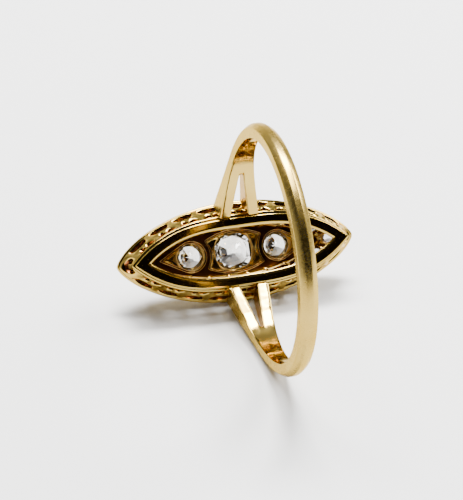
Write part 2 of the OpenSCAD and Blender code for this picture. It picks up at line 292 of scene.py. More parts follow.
goldLook = {
    "colour": (0.45, 0.30, 0.064), "pale": (0.51, 0.36, 0.095), "rim": (0.82, 0.70, 0.46),
    # The next colours are painted light: a painted highlight for bright edges and a painted amber glow
    "edge": (0.80, 0.62, 0.27), "paintedGlow": (0.74, 0.45, 0.13),
    # then painted shade for grooves and windows, and a darker painted shade and painted dark reflection for
    # hollows
    "groove": (0.30, 0.085, 0.025), "deep": (0.075, 0.032, 0.014),
    "roughness": 0.09, "hazeRoughness": 0.20, "recessRoughness": 0.2, "warmRoughness": 0.22,
    "waveScale": 260.0, "dimpleScale": 950.0, "hazeScale": 2600.0,
    "waveHeight": 0.02, "dimpleHeight": 0.012, "scratchHeight": 0.002,
    "waveStrength": 0.25, "dimpleStrength": 0.35, "scratchStrength": 0.3, "uneven": 1.0,
}


def goldMaterial(name, look):
    material, shader = newMaterial(name)
    place = objectPlace()
    broad = noise(place, look["waveScale"], 2.0)
    fine = noise(place, look["hazeScale"], 3.0)
    dimple = noise(place, look["dimpleScale"], 1.0)
    # The painted light of each place: -1 a painted highlight on edges, -0.5 a painted amber glow, 0 plain
    # gold, 0.5 painted shade in grooves and windows, 1 a dark painted shade and painted dark reflection in
    # the hollows
    paintedShadeAndHighlight = Socket.node("ShaderNodeAttribute", {"attribute_name": "paintedShadeAndHighlight"}, {}, out=2)
    paintedHighlight = 0.0 - paintedShadeAndHighlight
    colour = blendColour(broad.between(0.35, 0.7), look["colour"], look["pale"])
    colour = blendColour(paintedShadeAndHighlight.between(0.0, 0.5), colour, look["groove"])
    colour = blendColour(paintedShadeAndHighlight.between(0.5, 1.0), colour, look["deep"])
    colour = blendColour(paintedHighlight.between(0.0, 0.5), colour, look["paintedGlow"])
    colour = blendColour(paintedHighlight.between(0.5, 1.0), colour, look["edge"])
    feed(shader, "Base Color", colour)
    haze = (look["hazeRoughness"] - look["roughness"]) * fine.between(0.3, 0.8) * 0.5
    feed(shader, "Roughness", look["roughness"] + haze + paintedShadeAndHighlight.between(0.0, 1.0) * look["recessRoughness"]
         + paintedHighlight.between(0.0, 0.5) * look["warmRoughness"])
    shader.inputs["Metallic"].default_value = 1.0
    shader.inputs["Specular Tint"].default_value = (*look["rim"], 1)
    ripple = bump(look["waveStrength"] * look["uneven"], look["waveHeight"], broad)
    hammered = bump(look["dimpleStrength"] * look["uneven"], look["dimpleHeight"], dimple, ripple)
    feed(shader, "Normal", bump(look["scratchStrength"], look["scratchHeight"], fine, hammered))
    return material


diamondLook = {
    "colour": (0.97, 0.96, 0.925), "cloudShare": 0.94, "cloudScale": 900.0, "ior": 2.42, "roughness": 0.0,
}


def diamondMaterial(name, look):
    material, shader = newMaterial(name)
    cloud = noise(objectPlace(), look["cloudScale"], 2.0).between(0.3, 0.75)
    cloudy = tuple(look["cloudShare"] * c for c in look["colour"])
    feed(shader, "Base Color", blendColour(cloud, look["colour"], cloudy))
    shader.inputs["Roughness"].default_value = look["roughness"]
    shader.inputs["IOR"].default_value = look["ior"]
    shader.inputs["Transmission Weight"].default_value = 1.0
    return material


wornLook = {**goldLook, "roughness": 0.24, "hazeRoughness": 0.36, "waveHeight": 0.03, "uneven": 1.5}
rubbedLook = {**goldLook, "waveHeight": 0.06, "dimpleHeight": 0.04, "uneven": 1.5}
gold = goldMaterial("polishedGold", goldLook)
wornGold = goldMaterial("wornGold", wornLook)
rubbedGold = goldMaterial("rubbedGold", rubbedLook)
diamond = diamondMaterial("clearDiamond", diamondLook)
print("materials made")


# Band and forked shoulders
def polar(radius, angle):
    return radius * math.sin(angle), radius * math.cos(angle)


def buildBand():
    sizes = bandSizes
    holeRadius, edge, buried = sizes["holeRadius"], sizes["edgeStrip"], sizes["buried"]
    roundSteps, slantSteps, slotSteps = sizes["roundSteps"], sizes["slantSteps"], sizes["slotSteps"]
    straightRadius = holeRadius + sizes["straightGap"]
    corner = (railWidth, railZ + sizes["cornerGap"])
    innerEnd = math.atan2(*corner) + math.acos(straightRadius / math.hypot(*corner))
    slantTop = (halfWidth - domeIn, rimZ)
    outerEnd = math.atan2(*slantTop) + math.acos(bandRadius / math.hypot(*slantTop))
    innerFoot, outerFoot = polar(straightRadius, innerEnd), polar(bandRadius, outerEnd)
    slotFar = railWidth + sizes["slotLength"]

    def halfAt(y):
        t = (y - railWidth) / (holeRadius - railWidth)
        straight = mix(sizes["shoulderWidth"], sizes["width"], t) / 2
        return max(sizes["width"] / 2, straight) if y < holeRadius else sizes["width"] / 2

    def slotAt(y):
        return mix(sizes["slotWidth"], sizes["slotEnd"], (y - railWidth) / sizes["slotLength"]) / 2

    # Each station holds the inner point, the outer point and the half width
    stations = []
    for k in range(roundSteps + 1):
        angle = mix(math.pi, outerEnd, k / roundSteps)
        y = holeRadius * math.sin(angle) if angle < math.pi / 2 else holeRadius + 1
        stations.append((polar(holeRadius, angle), polar(bandRadius, angle), halfAt(y)))
    # along the slanted part the inner point follows the hole, then the straight prong
    for k in range(1, slantSteps + 1):
        t = k / slantSteps
        y = mix(holeRadius * math.sin(outerEnd), railWidth - buried, t)
        if y > innerFoot[0]:
            inner = (y, math.sqrt(holeRadius ** 2 - y * y))
        else:
            inner = (y, mix(innerFoot[1], corner[1], (innerFoot[0] - y) / (innerFoot[0] - corner[0])))
        outer = (mix(outerFoot[0], slantTop[0] - buried, t), mix(outerFoot[1], slantTop[1] + buried, t))
        stations.append((inner, outer, halfAt(y)))
    # the slot begins at the apex, the station nearest to its far end
    apex = min(range(roundSteps + 1, len(stations)), key=lambda k: abs(stations[k][0][0] - slotFar))
    maker = MeshMaker()

    # Rows of one station: ten points inside and outside, with the slot between the fifth and sixth
    def sectionRows(k, side):
        (iy, iz), (oy, oz), half = stations[k]
        inner, outer = Vector((0, side * iy, iz)), Vector((0, side * oy, oz))
        up, deep = (outer - inner).normalized(), (outer - inner).length
        forked = k >= apex
        slotHalf = slotAt(iy)
        if not forked:
            slotHalf = mix(half * sizes["middleShare"], slotAt(slotFar),
                           smoothStep((k - apex + slotSteps) / slotSteps))

        def at(x, depth):
            return inner + up * depth + Vector((x, 0, 0))

        def crown(x):
            return deep - sizes["crown"] * (abs(x) / half) ** sizes["crownCurve"]

        def wall(x, low, middle, shade=0.0):
            return maker.row([at(x, low), at(x, middle), at(x, crown(x) - edge)], shade)
        right = [slotHalf, slotHalf + sizes["slotStrip"], slotHalf + 0.5 * (half - slotHalf),
                 half - edge, half]
        xs = [-x for x in reversed(right)] + right
        soft = [sizes["softEdge"] if i in (0, 9) or (forked and i in (4, 5)) else 0 for i in range(10)]
        row = {"inner": maker.row([at(x, depth) for x, depth in zip(xs, soft)]),
               "outer": maker.row([at(x, crown(x)) for x in xs])}
        row["left"] = wall(-half, sizes["edgeLow"], crown(half) * 0.5)
        row["right"] = wall(half, sizes["edgeLow"], crown(half) * 0.5)
        # the slot's walls get a little painted shade
        if forked:
            row["slotLeft"] = wall(-slotHalf, edge, deep * 0.5, 0.25)
            row["slotRight"] = wall(slotHalf, edge, deep * 0.5, 0.25)
        return row

    def ladder(row, key, i):
        return [row["inner"][i]] + row[key] + [row["outer"][i]]

    for side in (1, -1):
        rows = [sectionRows(k, side) for k in range(len(stations))]
        for k, (a, b) in enumerate(zip(rows, rows[1:])):
            forked = k >= apex
            for key in ("inner", "outer"):
                for i in range(9):
                    if forked and i == 4:
                        continue
                    if key == "inner":
                        maker.rubbed.append(len(maker.faces))
                    maker.faces.append((a[key][i], a[key][i + 1], b[key][i + 1], b[key][i]))
            walls = [("left", 0), ("right", 9)]
            if forked:
                walls += [("slotLeft", 4), ("slotRight", 5)]
            for key, i in walls:
                maker.bridge(ladder(a, key, i), ladder(b, key, i), False)
        # the closed end of the slot
        maker.bridge(ladder(rows[apex], "slotLeft", 4), ladder(rows[apex], "slotRight", 5), False)
        # the feet of both prongs, buried in the head
        last = rows[-1]
        for low, high, outside, inside in ((0, 4, "left", "slotLeft"), (5, 9, "slotRight", "right")):
            maker.faces.append(tuple(last["inner"][low:high + 1] + last[inside]
                                     + last["outer"][low:high + 1][::-1] + last[outside][::-1]))
    maker.piece("band", wornGold, weld=0.004)


# Rail: distance in from its outer edge, or from its inner edge where negative, and height
railSizes = {
    "outerEdge": [(0.0, 0.16), (0.015, 0.07), (0.07, 0.015), (0.14, 0.0), (0.26, -0.006)],
    "innerEdge": [(-0.33, -0.006), (-0.27, 0.008), (-0.05, 0.075), (-0.015, 0.12), (-0.0001, 0.2)],
    "tuckIn": 0.3, "tuckHigh": 0.02,
}


def buildRail():
    maker = MeshMaker()
    thick = headSizes["railThick"]
    profile = [(0.0, thick)] + railSizes["outerEdge"] + railSizes["innerEdge"]
    profile += [(-0.0001, thick), (-railSizes["tuckIn"], thick + railSizes["tuckHigh"])]
    rows = []
    for inward, high in profile:
        pts = []
        for way in walkRound(headSizes["walkSteps"]):
            outer, inner = Vector(ovalPoint(oval(0), way)), Vector(ovalPoint(railInner, way))
            span = inner - outer
            p = outer + span.normalized() * (inward if inward >= 0 else span.length + inward)
            pts.append((p.x, p.y, railZ + high))
        rows.append(maker.row(pts))
    maker.skin(rows, closedRows=True)
    maker.piece("rail", gold)


# Sweeps a closed section round the head: each row is an oval and a height
def sweepSection(name, rows, level):
    maker = MeshMaker()
    walk = walkRound(headSizes["walkSteps"])
    swept = [maker.row([(*ovalPoint(shape, way), z) for way in walk]) for shape, z in rows]
    maker.skin(swept, closedRows=True)
    maker.piece(name, gold, level)


wireSizes = {
    "steps": 6, "turn": 80, "deep": 0.13, "high": 0.15, "footIn": 0.16, "tuckIn": 0.4, "overlap": 0.05,
}


def buildWire():
    sizes = wireSizes
    grooveDeep, tuckIn = headSizes["grooveDeep"], sizes["tuckIn"]
    middle = wireZ + headSizes["wireHigh"] / 2
    rows = [(oval(0, tuckIn), grooveZ - sizes["overlap"]), (oval(0, grooveDeep), grooveZ - sizes["overlap"]),
            (oval(0.02, grooveDeep), wireZ - 0.02)]
    for k in range(sizes["steps"] + 1):
        angle = math.radians(mix(-sizes["turn"], sizes["turn"], k / sizes["steps"]))
        rows.append((oval(headSizes["wireFlare"], sizes["deep"] * (1 - math.cos(angle))),
                     middle + sizes["high"] * math.sin(angle)))
    for inset in (sizes["footIn"], tuckIn):
        rows.append((oval(headSizes["footFlare"], inset), wallZ + 0.06))
    sweepSection("grooveAndWire", rows, 1)


def buildRim():
    soft, topFlare = headSizes["rimSoft"], headSizes["topFlare"]
    rows = [(oval(topFlare, 0.3), rimZ - 0.02), (oval(topFlare, 0.02), rimZ - 0.02),
            (oval(0.95), rimZ + 0.05), (oval(1), rimZ + soft), (oval(1), rimZ + soft + 0.1),
            (oval(1), domeZ - soft - 0.06), (oval(1, 0.02), domeZ - soft + 0.04),
            (oval(1, 0.06), domeZ - 0.04), (oval(1, domeIn), domeZ), (oval(1, 0.3), domeZ + 0.075),
            (oval(1, 0.3), domeZ - 0.3), (oval(1, rimThick), rimZ + 0.1)]
    sweepSection("rim", rows, 2)


# Border of a cell between two ways and two heights
def cellBorder(left, right, low, high, nx, ny):
    pts = [(mix(left, right, i / nx), low) for i in range(nx)]
    pts += [(right, mix(low, high, i / ny)) for i in range(ny)]
    pts += [(mix(right, left, i / nx), high) for i in range(nx)]
    pts += [(left, mix(high, low, i / ny)) for i in range(ny)]
    return pts


# Rings from a cell's border to the hole in it
def ringsTo(border, hole, shares):
    return [[(mix(b[0], h[0], t), mix(b[1], h[1], t)) for b, h in zip(border, hole)] for t in shares]


# Spreads points evenly along a closed outline, starting nearest to the start point
def evenLoop(outline, count, start, fineSteps=240):
    pts = np.array(outline + outline[:1])
    run = np.concatenate([[0], np.cumsum(np.hypot(*np.diff(pts, axis=0).T))])
    fine = np.linspace(0, run[-1], fineSteps + 1)[:-1]
    xs, ys = np.interp(fine, run, pts[:, 0]), np.interp(fine, run, pts[:, 1])
    first = int(np.argmin((xs - start[0]) ** 2 + (ys - start[1]) ** 2))
    picks = [(first + int(round(fineSteps * k / count))) % fineSteps for k in range(count)]
    return [(float(xs[p]), float(ys[p])) for p in picks]


gallerySizes = {
    "pitch": 2.06, "lensLong": 1.76, "lensHigh": 0.82, "lensBow": 0.86, "lensSteps": 24,
    "archHigh": 0.62, "archShare": 0.92, "archRise": 0.2, "archDrop": 0.1, "bar": 0.11, "foot": 0.03,
    "wideNear": 1.0, "wideFar": 0.76, "tipWide": 1.6, "tipHigh": 1.25, "tipMiddle": 0.52,
    "tipEase": 0.075, "tipReach": 0.09, "bulge": 0.035, "edgeDrop": 0.06,
}


def buildGallery():
    sizes = gallerySizes
    high, thick, pitch = headSizes["wallHigh"], headSizes["wallThick"], sizes["pitch"]
    bulge, edge = sizes["bulge"], sizes["edgeDrop"]
    maker = MeshMaker()

    def wallPoint(way, v, inset):
        # the wall's corner at each tip is eased between the wire and the rim
        middle = math.sin(math.pi * min(1, max(0, v / high)))
        flare = mix(headSizes["footFlare"], headSizes["topFlare"], v / high)
        shape = oval(flare, inset * middle ** 0.3 if inset < 0 else inset)
        ease = sizes["tipEase"] * middle * max(0, 1 - abs(way - round(way)) / sizes["tipReach"])
        spots = [ovalPoint(shape, way + ease * k) for k in (-1, -0.5, 0, 0.5, 1)]
        return sum(x for x, y in spots) / 5, sum(y for x, y in spots) / 5, mix(wallZ, rimZ, v / high)

    def pierced(centreWay, border, hole):
        rings = ringsTo(border, hole, (0, 0.45, 0.8, 1.0))

        def row(pts, inset, shade):
            return maker.row([wallPoint(centreWay + x / pitch / bays, v, inset) for x, v in pts], shade)
        front = [row(r, d, 0.0) for r, d in zip(rings, (-bulge, -bulge * 0.6, edge * 0.25, edge))]
        # the wall's back and the well of each window get painted shade
        back = [row(r, thick, 0.9) for r in rings]
        well = [row(rings[-1], depth, shade) for depth, shade in ((edge + 0.06, 0.4), (thick - 0.05, 0.9))]
        maker.skin(front)
        maker.skin(back)
        maker.skin([front[-1]] + well + [back[-1]])

    lensTop, lensHigh, steps = high - sizes["bar"] / 2, sizes["lensHigh"], sizes["lensSteps"]
    lensMiddle = lensTop - (1 - sizes["lensBow"]) * lensHigh
    split = lensTop - lensHigh - sizes["bar"] / 2
    half = pitch / 2
    for side in (0, 1):
        for bay in range(1, bays):
            centre = side + bay / bays
            # upper window: bowed below, nearly straight above
            lens = []
            for turn, bow in ((1, -sizes["lensBow"]), (-1, 1 - sizes["lensBow"])):
                for k in range(steps):
                    t = turn * (2 * k / steps - 1)
                    lens.append((t * sizes["lensLong"] / 2, lensMiddle + bow * lensHigh * (1 - t * t)))
            border = cellBorder(-half, half, split, high, 8, 4)
            pierced(centre, border, evenLoop(lens, len(border), border[0]))
            # lower pair: three-cornered windows that lean away from the post between them
            flip = 1 if side == 0 else -1
            for mirror in (1, -1):
                wide = sizes["wideNear"] if mirror * flip > 0 else sizes["wideFar"]
                foot, top = sizes["foot"], sizes["foot"] + sizes["archHigh"]
                near = sizes["bar"] / 2
                far = near + wide * sizes["archShare"]
                corners = [(near, foot), (far, foot), (far, foot + sizes["archRise"]),
                           (mix(near, far, 0.5), top - sizes["archDrop"]), (near, top - sizes["archRise"])]
                shape = [(mirror * x, v) for x, v in corners]
                border = cellBorder(0, mirror * half, 0, split, 4, 3)
                pierced(centre, border, evenLoop(shape, len(border), border[0]))
    # an oval window at each tip
    tipZ = high * sizes["tipMiddle"]
    for tip in (0, 1):
        border = cellBorder(-half, half, 0, high, 8, 7)
        angles = [math.atan2(v - tipZ, x) for x, v in border]
        hole = [(sizes["tipWide"] / 2 * math.cos(a), tipZ + sizes["tipHigh"] / 2 * math.sin(a))
                for a in angles]
        pierced(tip, border, hole)
    maker.piece("gallery", gold, 1, weld=0.01)


buildBand()
buildRail()
buildWire()
buildRim()
buildGallery()
print("band, rail, wire, rim and gallery made")


# Face of the head: border cells from the back windows through to the stones' seats
faceSizes = {
    "borderStone": 1.14, "borderIn": 1.25, "borderTipIn": 1.8, "post": 0.3, "windowDeep": 0.42,
    "tipNarrow": 0.62, "windowHigh": 0.95, "tipWindowHigh": 0.8, "windowPower": 6,
    "mainShare": 0.92, "borderShare": 0.84, "gap": 0.04, "openDeep": 0.2,
    "centreLong": 3.4, "centreWide": 3.2, "centreFull": 2.7, "sideAcross": 2.4, "sideX": 3.74,
    "collet": 0.36, "colletHigh": 0.74, "colletGrow": 0.3, "girdleShare": 0.66,
    "openLong": 4.66, "openWide": 2.24, "bowOut": 0.56, "bowIn": 0.38, "openGrow": 0.13,
    "pearRadius": 1.17, "pearPoint": 2.42, "sheetTuck": 0.03,
}
rowOval = (halfLength - faceSizes["borderTipIn"], halfWidth - faceSizes["borderIn"],
           headSizes["fullness"], headSizes["point"])
girdleZ = faceZ + faceSizes["girdleShare"] * faceSizes["colletHigh"]


# A border stone's centre, the way out from it and its way round the head
def borderPlace(i):
    way = i / bays
    x, y = ovalPoint(rowOval, way)
    if i % bays == 0:
        return Vector((x, 0)), Vector((1 if x > 0 else -1, 0)), way
    ahead, behind = Vector(ovalPoint(rowOval, way + 0.01)), Vector(ovalPoint(rowOval, way - 0.01))
    along = (ahead - behind).normalized()
    return Vector((x, y)), Vector((-along.y, along.x)), way


def frontHeight(inset):
    return domeZ + headSizes["domeRise"] * min(1, max(0, (inset - domeIn) / (levelIn - domeIn)))


def backHeight(inset):
    t = min(1, max(0, (inset - rimThick) / (backIn - rimThick)))
    return mix(rimZ + 0.02, backZ, t)


def buildFace():
    maker = MeshMaker()
    radius, borderIn = faceSizes["borderStone"] / 2, faceSizes["borderIn"]
    seat, hole = radius + faceSizes["gap"], radius * faceSizes["borderShare"]
    windowDeep = faceSizes["windowDeep"]

    def frontPoint(way, inset):
        return Vector((*ovalPoint(oval(1, inset), way), frontHeight(inset)))

    def backPoint(way, inset):
        return Vector((*ovalPoint(oval(1, inset), way), backHeight(inset)))

    for i in range(2 * bays):
        centre, out, way = borderPlace(i)
        left, right = way - 0.5 / bays, way + 0.5 / bays
        border = cellBorder(left, right, domeIn, levelIn, 8, 6)
        flat = [frontPoint(w, d) for w, d in border]
        middle = Vector((centre.x, centre.y, frontHeight(borderIn)))
        across = Vector((-out.y, out.x, 0))
        outward = Vector((out.x * math.cos(domeTilt), out.y * math.cos(domeTilt), -math.sin(domeTilt)))
        normal = Vector((out.x * math.sin(domeTilt), out.y * math.sin(domeTilt), math.cos(domeTilt)))

        def circle(r, drop):
            made = []
            for p in flat:
                d = p - middle
                angle = math.atan2(d.dot(outward), d.dot(across))
                made.append(middle + across * r * math.cos(angle) + outward * r * math.sin(angle)
                            - normal * drop)
            return made

        rim = circle(seat, 0.0)
        rows = [maker.row(flat)]
        for share in (0.5, 0.85):
            rows.append(maker.row([a.lerp(b, share) for a, b in zip(flat, rim)]))
        rows.append(maker.row(rim))
        # the stone's seat and the hole under it, with painted shade that darkens with depth
        for r, drop, shade in ((seat, 0.1, 0.3), (hole, 0.17, 0.5), (hole, windowDeep - 0.06, 0.8),
                               (hole + 0.03, windowDeep, 1.0)):
            rows.append(maker.row(circle(r, drop), shade))
        # the window behind the stone, cut from the back
        pitchHalf = (Vector(ovalPoint(rowOval, right)) - Vector(ovalPoint(rowOval, left))).length / 2
        halfLong, halfHigh = pitchHalf - faceSizes["post"] / 2, radius * faceSizes["windowHigh"]
        if i % bays in (0, 1, bays - 1):
            halfLong, halfHigh = halfLong * faceSizes["tipNarrow"], radius * faceSizes["tipWindowHigh"]

        def window(lift, grow=1.0):
            made = []
            power = faceSizes["windowPower"]
            for p in flat:
                d = p - middle
                u, v = d.dot(across) / pitchHalf, d.dot(outward) / (levelIn - domeIn) * 2
                big = (abs(u) ** power + abs(v) ** power) ** (1 / power) or 1
                sideways, upward = across * (u / big) * halfLong, outward * (v / big) * halfHigh
                made.append(middle + sideways * grow + upward * grow - normal * lift)
            return made
        backBorder = [backPoint(w, mix(rimThick, backIn, (d - domeIn) / (levelIn - domeIn)))
                      for w, d in border]
        backDepth = max(0.5, (middle - backPoint(way, borderIn)).dot(normal))
        # the window's walls get painted shade, its mouth a painted highlight, and the back between windows
        # some painted shade
        rows.append(maker.row(window(windowDeep), 1.0))
        rows.append(maker.row(window(backDepth - 0.12), 0.6))
        rows.append(maker.row(window(backDepth - 0.03, 1.01), 0.5))
        mouth = window(backDepth, 1.04)
        rows.append(maker.row(mouth, -0.8))
        rows.append(maker.row([a.lerp(b, 0.3) for a, b in zip(mouth, backBorder)], -0.3))
        rows.append(maker.row(backBorder, 0.3))
        maker.skin(rows)
    maker.piece("faceBorder", gold, 1, weld=0.01)


# Outlines of the openings behind the main stones
def centreOpening(grow):
    l, w = faceSizes["openLong"] / 2, faceSizes["openWide"] / 2
    made = []
    steps = 14
    for side in range(4):
        for k in range(steps):
            t = 2 * k / steps - 1
            bow = 1 - t * t
            p = [(t * l, -w - faceSizes["bowOut"] * bow), (l - faceSizes["bowIn"] * bow, t * w),
                 (-t * l, w + faceSizes["bowOut"] * bow), (-l + faceSizes["bowIn"] * bow, -t * w)][side]
            length = math.hypot(*p)
            made.append((p[0] * (1 + grow / length), p[1] * (1 + grow / length)))
    return made


def pearOpening(side, grow):
    radius, point = faceSizes["pearRadius"] + grow, faceSizes["pearPoint"] + grow * 1.9
    lean = math.acos(radius / point)
    footX, footY = radius * math.cos(lean), radius * math.sin(lean)
    made = []
    roundSteps, steps = 56, 14
    for k in range(roundSteps + 1):
        angle = mix(lean, 2 * math.pi - lean, k / roundSteps)
        made.append((radius * math.cos(angle), radius * math.sin(angle)))
    for k in range(1, steps):
        made.append((mix(footX, point, k / steps), -mix(footY, 0, k / steps)))
    for k in range(steps):
        made.append((mix(point, footX, k / steps), mix(0, footY, k / steps)))
    # turned half round for the left side, so that both run the same way
    return [(side * (faceSizes["sideX"] + x), side * y) for x, y in made]


def ovalLoop(centreX, long, wide, full, count=56):
    made = []
    for k in range(count):
        angle = 2 * math.pi * k / count
        c, s = math.cos(angle), math.sin(angle)
        r = (abs(c) ** full + abs(s) ** full) ** (-1 / full)
        made.append((centreX + long / 2 * r * c, wide / 2 * r * s))
    return made


# A level sheet with holes in it
def flatSheet(outer, holes, z, maker, shade):
    pts, edges = [], []
    for loop in [outer] + holes:
        start = len(pts)
        pts += loop
        edges += [(start + k, start + (k + 1) % len(loop)) for k in range(len(loop))]
    made = delaunay_2d_cdt([Vector(p) for p in pts], edges, [], 0, 1e-6)
    verts, faces = made[0], made[2]

    def insideOf(loop, p):
        odd = False
        for (x1, y1), (x2, y2) in zip(loop, loop[1:] + loop[:1]):
            if (y1 > p[1]) != (y2 > p[1]) and p[0] < (x2 - x1) * (p[1] - y1) / (y2 - y1) + x1:
                odd = not odd
        return odd
    ids = maker.row([(v.x, v.y, z) for v in verts], shade)
    for face in faces:
        mid = sum((verts[i] for i in face), Vector((0, 0))) / len(face)
        if insideOf(outer, mid) and not any(insideOf(hole, mid) for hole in holes):
            maker.faces.append(tuple(ids[i] for i in face))


def buildStrip():
    maker = MeshMaker()
    walk = walkRound(headSizes["faceSteps"])
    tuck, grow, openGrow = faceSizes["sheetTuck"], faceSizes["colletGrow"], faceSizes["openGrow"]
    long, wide, across = faceSizes["centreLong"], faceSizes["centreWide"], faceSizes["sideAcross"]
    backEdge = [ovalPoint(oval(1, backIn - tuck), way) for way in walk]
    frontEdge = [ovalPoint(oval(1, levelIn - tuck), way) for way in walk]
    backHoles = [centreOpening(openGrow), pearOpening(1, openGrow), pearOpening(-1, openGrow)]
    colletHoles = [ovalLoop(0, long + grow, wide + grow, faceSizes["centreFull"])]
    for side in (1, -1):
        colletHoles.append(ovalLoop(side * faceSizes["sideX"], across + grow, across + grow, 2))
    # the back sheet gets dark painted shade and painted dark reflection, the front sheet none
    flatSheet(backEdge, backHoles, backZ, maker, 0.9)
    flatSheet(frontEdge, colletHoles, faceZ, maker, 0.0)
    maker.piece("faceStrip", gold, 0, smooth=False)


# Rows of three: how far out, how high over the row's own level, and the painted light: positive painted
# shade, negative a painted highlight or glow
settingSizes = {
    "lip": 0.1, "points": 72,
    # the lip, outward by so many lips, over the back of the face
    "lipRows": [(2.0, 0.03, 0.9), (1.9, -0.03, 0.3), (1.7, -0.07, -1), (1.35, -0.075, -1), (1.15, -0.05, 0.4),
                (0.8, 0.01, 0.6), (0.4, 0.0, 0.5), (0.2, -0.045, -0.8), (0.0, -0.045, -0.8)],
    # the ledge that the stone shows through, over the opening's floor
    "ledgeRows": [(0.04, 0.03, -0.5), (0, 0.12, -0.5)],
}


# Each opening's raised lip, its wall, its ledge, the stone's seat and the collet on the face
def buildSetting(name, opening, long, wide, full, centreX):
    sizes = settingSizes
    maker = MeshMaker()
    count, lip = sizes["points"], sizes["lip"]
    start = (centreX + 5, 0)
    gap, share, wall = faceSizes["gap"], faceSizes["mainShare"], faceSizes["collet"]
    floorZ, topZ = backZ + faceSizes["openDeep"], faceZ + faceSizes["colletHigh"]

    def openLoop(grow, z, shade):
        return maker.row([(x, y, z) for x, y in evenLoop(opening(grow), count, start)], shade)

    def stoneLoop(grow, z, shade=0.0, scale=1.0):
        loop = ovalLoop(centreX, long * scale + 2 * grow, wide * scale + 2 * grow, full, count)
        return maker.row([(x, y, z) for x, y in evenLoop(loop, count, start)], shade)

    rows = [openLoop(lip * grow, backZ + high, shade) for grow, high, shade in sizes["lipRows"]]
    # the opening's wall and floor, with a faint painted highlight and a little painted shade
    rows += [openLoop(-0.02, backZ + 0.02, -0.2), openLoop(-0.03, floorZ - 0.03, 0.15)]
    rows += [stoneLoop(grow, floorZ + high, shade, share) for grow, high, shade in sizes["ledgeRows"]]
    # the seat, with a painted amber glow and a little painted shade, the collet's top and its outside
    rows += [stoneLoop(0, girdleZ - gap - 0.14, -0.5, share), stoneLoop(gap, girdleZ - gap, -0.3),
             stoneLoop(gap, girdleZ + 0.16, 0.2), stoneLoop(gap - 0.03, topZ - 0.03)]
    for grow, z in ((gap + 0.05, topZ), (wall * 0.6, topZ), (wall - 0.05, topZ - 0.07), (wall, topZ - 0.18),
                    (wall + 0.05, faceZ + 0.08), (wall + 0.12, faceZ + 0.01), (wall + 0.12, faceZ - 0.1)):
        rows.append(stoneLoop(grow, z))
    maker.skin(rows)
    maker.piece(name, gold, 1)


# Shares of a stone's width or radius, and the mains round it
stoneSizes = {
    "mains": 8, "girdle": 0.05, "pavilion": 0.3, "crown": 0.16,
    "table": 0.54, "star": 0.78, "lower": 0.36, "culet": 0.12,
}


# A cut stone: table, stars, bezels, girdle, pavilion and culet, as the hull of its corners
def buildStone(name, node, long, wide, full, place):
    girdle, pavilion, crown = (stoneSizes[part] * wide for part in ("girdle", "pavilion", "crown"))
    table, star, lower, culet = (stoneSizes[part] for part in ("table", "star", "lower", "culet"))
    turn = 2 * math.pi / stoneSizes["mains"]
    corners = []

    def at(angle, r, z):
        c, s = math.cos(angle), math.sin(angle)
        k = (abs(c) ** full + abs(s) ** full) ** (-1 / full)
        corners.append(place @ Vector((long / 2 * r * k * c, wide / 2 * r * k * s, z)))

    for k in range(stoneSizes["mains"]):
        a, b = k * turn, (k + 0.5) * turn
        at(a, table, girdle + crown)
        at(b, star, girdle + crown * (1 - star * math.cos(turn / 2)) / (1 - table))
        for z in (0, girdle):
            at(a, 1, z)
            at(b, 0.995, z)
            at((k + 0.25) * turn, 0.999, z)
            at((k + 0.75) * turn, 0.999, z)
        at(b, lower, -pavilion * (1 - (lower * math.cos(turn / 2) - culet) / (1 - culet)))
        at(a, culet, -pavilion)
    work = bmesh.new()
    for p in corners:
        work.verts.new(p)
    bmesh.ops.convex_hull(work, input=work.verts)
    bmesh.ops.dissolve_limit(work, angle_limit=math.radians(1.0), verts=work.verts, edges=work.edges)
    mesh = bpy.data.meshes.new(name)
    work.to_mesh(mesh)
    work.free()
    mesh.transform(ringPlace)
    mesh.materials.append(diamond)
    addPiece(name, mesh, node)


# The three main stones with their settings
def buildMains():
    long, wide, full = faceSizes["centreLong"], faceSizes["centreWide"], faceSizes["centreFull"]
    across, sideX = faceSizes["sideAcross"], faceSizes["sideX"]
    buildSetting("centreSetting", centreOpening, long, wide, full, 0)
    buildStone("centreStone", "centre_diamond", long, wide, full, Matrix.Translation((0, 0, girdleZ)))
    for side, hand in ((1, "Right"), (-1, "Left")):
        buildSetting("sideSetting" + hand, lambda grow: pearOpening(side, grow), across, across, 2,
                     side * sideX)
        place = Matrix.Translation((side * sideX, 0, girdleZ)) @ Matrix.Rotation(0.3 * side, 4, "Z")
        buildStone("sideStone" + hand, "side_diamond_" + hand.lower(), across, across, 2, place)


# The border stones are counted along one side and then back along the other
def buildBorder():
    across, high = faceSizes["borderStone"], frontHeight(faceSizes["borderIn"])
    for i in range(1, 2 * bays + 1):
        centre, out, way = borderPlace(i % (2 * bays))
        place = (Matrix.Translation((centre.x, centre.y, high))
                 @ Matrix.Rotation(math.atan2(out.y, out.x), 4, "Z") @ Matrix.Rotation(domeTilt, 4, "Y")
                 @ Matrix.Translation((0, 0, -0.06)))
        buildStone("borderStone" + str(i), "border_diamond_" + str(i), across, across, 2, place)


buildFace()
buildStrip()
buildMains()
buildBorder()
print("face, settings and stones made")


# Floor, room and lights
floorLook = {
    "colour": (0.84, 0.85, 0.865), "grainShare": 0.985, "grainScale": 40.0, "roughness": 0.6, "gloss": 0.2,
    "size": 1.2, "bendAt": 0.25, "bendDeep": 0.3, "steps": 24,
}


def floorMaterial():
    material, shader = newMaterial("palePaper")
    grain = noise(objectPlace(), floorLook["grainScale"], 3.0).between(0.2, 0.8)
    grainy = tuple(floorLook["grainShare"] * c for c in floorLook["colour"])
    feed(shader, "Base Color", blendColour(grain, floorLook["colour"], grainy))
    shader.inputs["Roughness"].default_value = floorLook["roughness"]
    shader.inputs["Specular IOR Level"].default_value = floorLook["gloss"]
    return material


